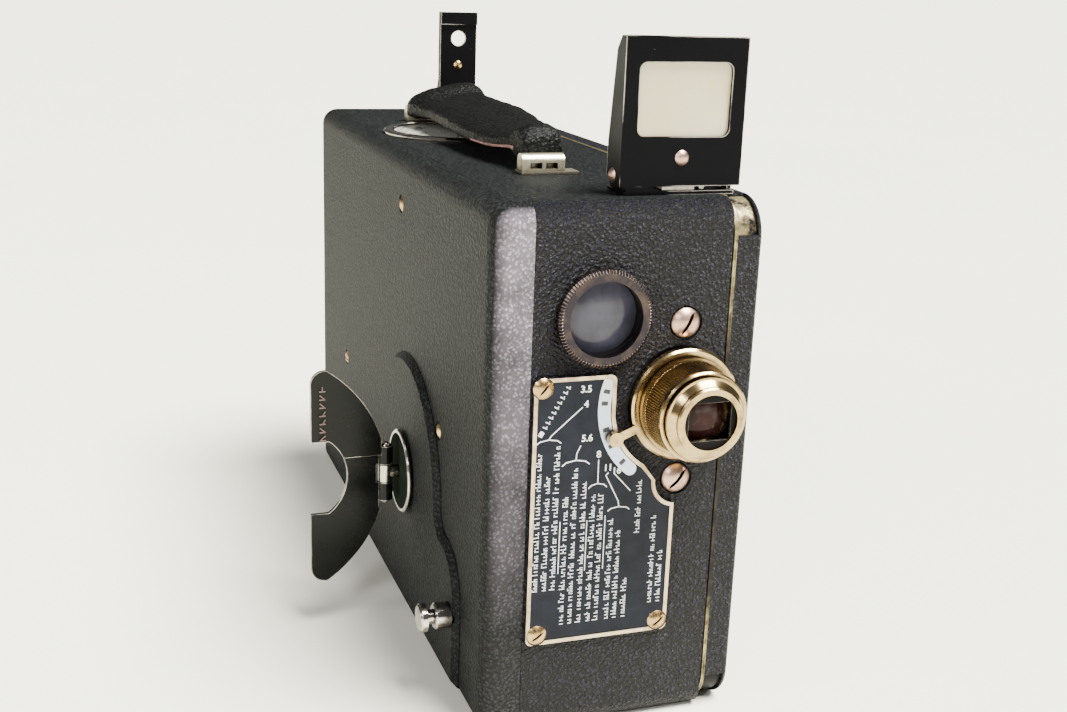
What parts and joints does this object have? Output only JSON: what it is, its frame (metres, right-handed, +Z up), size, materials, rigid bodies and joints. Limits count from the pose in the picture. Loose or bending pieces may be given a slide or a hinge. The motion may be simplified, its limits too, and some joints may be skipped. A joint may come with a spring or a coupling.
{
  "type": "box camera",
  "caption": "Leather-covered box-shaped spring-driven cine camera with a hinged film door, folding sights, folding winding key, top strap and a gilt lens on the narrow front",
  "frame": {"origin": "centre of the tripod socket's mouth on the base plane", "axes": "+Z up, the lens looks along -Y, the film door is on the +X side and the winding key on the -X side"},
  "size_m": [0.1066, 0.2427, 0.18],
  "materials": {
    "case_enamel": "black enamel on aluminium, worn to bare metal on the edges",
    "front_grain_leather": "black pebble-grain leather with a soft sheen",
    "side_grain_leather": "aged black pebble-grain leather, duller and browner",
    "strap_leather": "black strap leather with raw pinkish edges",
    "dark_brass": "turned brass",
    "frame_brass": "satin brass plate",
    "steel": "turned steel",
    "spring_steel": "blued spring steel",
    "gear_brass": "cut brass gears",
    "key_enamel": "gloss black enamel, worn bright on the edges",
    "shutter_black": "matte black",
    "gate_nickel": "polished nickel",
    "spool_enamel": "black enamel on sheet steel",
    "lens_gilt": "gilt lacquered brass",
    "optical_glass": "clear polished glass",
    "worn_nickel": "nickel plate with a warm worn tone",
    "screw_brass": "aged brass",
    "finder_black": "satin black",
    "plate_enamel": "black enamel with a cream border line",
    "sight_enamel": "gloss black enamel with worn bright edges",
    "dial_nickel": "satin nickel",
    "latch_nickel": "nickel plate",
    "button_brass": "nickelled brass, worn"
  },
  "bodies": {
    "body": {"body_case": "case_enamel", "side_leather": "side_grain_leather", "front_leather": "front_grain_leather", "top_leather": "side_grain_leather", "back_leather": "side_grain_leather", "base_leather": "side_grain_leather", "tripod_socket": "dark_brass", "outer_plate": "frame_brass", "mechanism_plate": "frame_brass", "plate_pillars": "steel", "spool_spindles": "steel", "film_gate": "gate_nickel", "lens_barrel": "lens_gilt", "lens_front_ring": "lens_gilt", "lens_mask": "shutter_black", "lens_front_element": "optical_glass", "lens_rear_element": "optical_glass", "lens_mount_screws": "worn_nickel", "case_screws": "screw_brass", "finder_bezel": "finder_black", "finder_tube": "finder_black", "finder_lenses": "optical_glass", "exposure_plate": "plate_enamel", "front_sight_base": "worn_nickel", "front_sight_spring": "spring_steel", "rear_sight_base": "worn_nickel", "handle_strap": "strap_leather", "handle_brackets": "worn_nickel", "footage_bezel": "worn_nickel", "door_hinge_pin": "steel", "button_collar": "button_brass", "button_spring": "spring_steel"},
    "diaphragm": {"diaphragm_ring": "lens_gilt", "iris_blades": "spring_steel"},
    "front_sight": {"front_sight_frame": "sight_enamel", "front_sight_lens": "optical_glass", "front_sight_rivets": "screw_brass"},
    "rear_sight": {"rear_sight_leaf": "sight_enamel", "rear_sight_rivets": "screw_brass"},
    "key": {"winding_shaft": "steel", "key_escutcheon": "key_enamel", "ratchet_wheel": "steel", "key_hinge_pin": "steel"},
    "wing": {"key_wing": "key_enamel"},
    "pawl": {"ratchet_pawl": "steel"},
    "shutter": {"shutter_disc": "shutter_black"},
    "film_drive": {"sprocket": "gear_brass"},
    "transfer": {"transfer_gear": "gear_brass"},
    "barrel": {"spring_barrel": "gear_brass", "mainspring": "spring_steel"},
    "speed_governor": {"governor": "gear_brass"},
    "takeup": {"takeup_spool": "spool_enamel"},
    "supply": {"supply_spool": "spool_enamel"},
    "dial": {"footage_dial": "dial_nickel"},
    "claw": {"film_claw": "steel"},
    "pressure": {"pressure_plate": "gate_nickel"},
    "film_door": {"door": "case_enamel", "door_leather": "front_grain_leather"},
    "latch": {"door_latch": "latch_nickel"},
    "button": {"start_button": "button_brass"}
  },
  "joints": [
    {"name": "diaphragm_turn", "type": "hinge", "parent": "body", "child": "diaphragm", "pos_m": [0.0157, -0.112, 0.0895], "axis": [0, -1, 0], "range_deg": [-33.8, 28.7]},
    {"name": "front_sight_fold", "type": "hinge", "parent": "body", "child": "front_sight", "pos_m": [0.0154, -0.09755, 0.1459], "axis": [-1, 0, 0], "range_deg": [0, 90]},
    {"name": "rear_sight_fold", "type": "hinge", "parent": "body", "child": "rear_sight", "pos_m": [0.0157, 0.10325, 0.145], "axis": [1, 0, 0], "range_deg": [0, 90]},
    {"name": "key_wind", "type": "hinge", "parent": "body", "child": "key", "pos_m": [-0.0433, -0.03335, 0.0472], "axis": [1, 0, 0], "continuous": true},
    {"name": "wing_fold", "type": "hinge", "parent": "key", "child": "wing", "pos_m": [-0.0433, -0.03335, 0.0472], "axis": [0, 0, -1], "range_deg": [0, 90]},
    {"name": "pawl_lift", "type": "hinge", "parent": "body", "child": "pawl", "pos_m": [-0.0295, -0.01935, 0.0606], "axis": [-1, 0, 0], "range_deg": [0, 10], "stiffness_Nm_per_rad": 0.002, "springref_deg": -17.19},
    {"name": "shutter_spin", "type": "hinge", "parent": "body", "child": "shutter", "pos_m": [0, -0.1, 0.074], "axis": [0, 1, 0], "continuous": true},
    {"name": "sprocket_spin", "type": "hinge", "parent": "body", "child": "film_drive", "pos_m": [0.0157, -0.06788, 0.09597], "axis": [1, 0, 0], "continuous": true},
    {"name": "transfer_spin", "type": "hinge", "parent": "body", "child": "transfer", "pos_m": [-0.01, -0.05665, 0.08011], "axis": [1, 0, 0], "continuous": true},
    {"name": "barrel_spin", "type": "hinge", "parent": "body", "child": "barrel", "pos_m": [-0.02, -0.03335, 0.0472], "axis": [1, 0, 0], "continuous": true},
    {"name": "governor_spin", "type": "hinge", "parent": "body", "child": "speed_governor", "pos_m": [-0.01, -0.07835, 0.058], "axis": [1, 0, 0], "continuous": true},
    {"name": "takeup_spin", "type": "hinge", "parent": "body", "child": "takeup", "pos_m": [0.0157, -0.024, 0.05], "axis": [1, 0, 0], "continuous": true},
    {"name": "supply_spin", "type": "hinge", "parent": "body", "child": "supply", "pos_m": [0.0157, 0.061, 0.088], "axis": [1, 0, 0], "continuous": true},
    {"name": "dial_spin", "type": "hinge", "parent": "body", "child": "dial", "pos_m": [-0.005, 0.02565, 0.14], "axis": [0, 0, 1], "continuous": true},
    {"name": "claw_pull", "type": "slide", "parent": "body", "child": "claw", "axis": [0, 0, 1], "range_m": [-0.00762, 0]},
    {"name": "pressure_release", "type": "slide", "parent": "body", "child": "pressure", "axis": [0, 1, 0], "range_m": [0, 0.0015], "stiffness_N_per_m": 300, "springref_m": -0.001},
    {"name": "door_swing", "type": "hinge", "parent": "body", "child": "film_door", "pos_m": [0.0274, 0.11275, 0.07], "axis": [0, 0, 1], "range_deg": [0, 110]},
    {"name": "latch_turn", "type": "hinge", "parent": "film_door", "child": "latch", "pos_m": [0.035, -0.09435, 0.076], "axis": [-1, 0, 0], "range_deg": [0, 90]},
    {"name": "button_press", "type": "slide", "parent": "body", "child": "button", "axis": [1, 0, 0], "range_m": [0, 0.0015], "stiffness_N_per_m": 400, "springref_m": -0.002, "deforming": ["button_spring"]}
  ],
  "couplings": [
    {"joint": "sprocket_spin", "follows": "shutter_spin", "ratio": 0.125},
    {"joint": "transfer_spin", "follows": "shutter_spin", "ratio": -0.1},
    {"joint": "barrel_spin", "follows": "shutter_spin", "ratio": 0.016667},
    {"joint": "governor_spin", "follows": "shutter_spin", "ratio": 2},
    {"joint": "takeup_spin", "follows": "shutter_spin", "ratio": 0.0375},
    {"joint": "dial_spin", "follows": "shutter_spin", "ratio": 0.00025}
  ]
}
